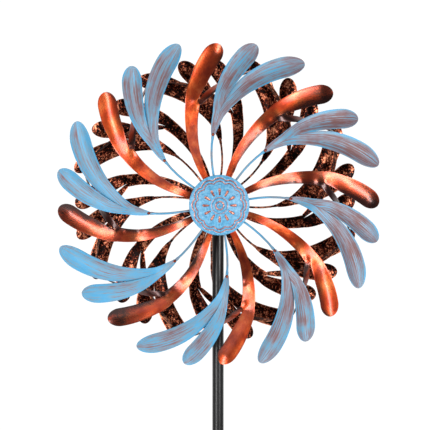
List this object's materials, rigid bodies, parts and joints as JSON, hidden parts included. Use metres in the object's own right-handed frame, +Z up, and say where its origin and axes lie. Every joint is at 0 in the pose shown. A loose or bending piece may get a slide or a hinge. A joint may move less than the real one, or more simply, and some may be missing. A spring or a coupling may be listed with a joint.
{
  "type": "wind spinner",
  "caption": "Garden wind spinner: two free-turning rotors of curved forked petals, painted copper and blue in front and dark behind, on a pole with a pronged ground stake.",
  "frame": {"origin": "on the pole's axis at ground level, under the step bar, where the centre prong starts", "axes": "+Z up along the pole, -Y out of the front rotor's face, +X to the right as seen from the front"},
  "size_m": [0.6014, 0.1554, 2.1307],
  "materials": {
    "copper_painted_steel": "metallic copper lacquer, dark brushed edges",
    "blue_painted_steel": "sky blue, dry-brushed over copper",
    "dark_mottled_steel": "black-brown with copper mottle",
    "black_painted_steel": "semi-gloss powder coat",
    "black_moulded_plastic": "fine moulded grain",
    "bearing_steel": "ground",
    "zinc_plated_steel": "bright zinc plate"
  },
  "bodies": {
    "stand": {"lower_pole": "black_painted_steel", "middle_pole": "black_painted_steel", "upper_pole": "black_painted_steel", "pole_couplers": "black_painted_steel", "pole_thumb_screws": "zinc_plated_steel", "head_sleeve": "black_painted_steel", "axle": "zinc_plated_steel", "axle_spacers": "zinc_plated_steel", "axle_nuts": "zinc_plated_steel", "bearing_inner_rings": "bearing_steel", "step_bar": "black_painted_steel", "pole_spigot": "black_painted_steel", "centre_prong": "black_painted_steel", "side_prongs": "black_painted_steel"},
    "front_rotor": {"front_copper_arm_1": "copper_painted_steel", "front_copper_arm_2": "copper_painted_steel", "front_copper_arm_3": "copper_painted_steel", "front_copper_arm_4": "copper_painted_steel", "front_copper_arm_5": "copper_painted_steel", "front_copper_arm_6": "copper_painted_steel", "front_copper_arm_7": "copper_painted_steel", "front_copper_arm_8": "copper_painted_steel", "front_forked_leaf_1": "blue_painted_steel", "front_forked_leaf_2": "blue_painted_steel", "front_forked_leaf_3": "blue_painted_steel", "front_forked_leaf_4": "blue_painted_steel", "front_forked_leaf_5": "blue_painted_steel", "front_forked_leaf_6": "blue_painted_steel", "front_forked_leaf_7": "blue_painted_steel", "front_forked_leaf_8": "blue_painted_steel", "front_leaf_rods": "blue_painted_steel", "front_hub_plate": "black_painted_steel", "front_bearing_housing": "black_painted_steel", "front_bearing_outer_rings": "bearing_steel", "front_bearing_balls": "bearing_steel", "front_medallion": "blue_painted_steel", "front_medallion_collar": "black_painted_steel"},
    "rear_rotor": {"rear_strip_arm_1": "dark_mottled_steel", "rear_strip_arm_2": "dark_mottled_steel", "rear_strip_arm_3": "dark_mottled_steel", "rear_strip_arm_4": "dark_mottled_steel", "rear_strip_arm_5": "dark_mottled_steel", "rear_strip_arm_6": "dark_mottled_steel", "rear_strip_arm_7": "dark_mottled_steel", "rear_strip_arm_8": "dark_mottled_steel", "rear_forked_leaf_1": "dark_mottled_steel", "rear_forked_leaf_2": "dark_mottled_steel", "rear_forked_leaf_3": "dark_mottled_steel", "rear_forked_leaf_4": "dark_mottled_steel", "rear_forked_leaf_5": "dark_mottled_steel", "rear_forked_leaf_6": "dark_mottled_steel", "rear_forked_leaf_7": "dark_mottled_steel", "rear_forked_leaf_8": "dark_mottled_steel", "rear_leaf_rods": "dark_mottled_steel", "rear_hub_plate": "black_painted_steel", "rear_bearing_housing": "black_painted_steel", "rear_bearing_outer_rings": "bearing_steel", "rear_bearing_balls": "bearing_steel", "rear_hub_cap": "black_moulded_plastic"}
  },
  "joints": [
    {"name": "front_spin", "type": "hinge", "parent": "stand", "child": "front_rotor", "pos_m": [0, 0, 1.6], "axis": [0, 1, 0], "continuous": true},
    {"name": "rear_spin", "type": "hinge", "parent": "stand", "child": "rear_rotor", "pos_m": [0, 0, 1.6], "axis": [0, 1, 0], "continuous": true}
  ]
}
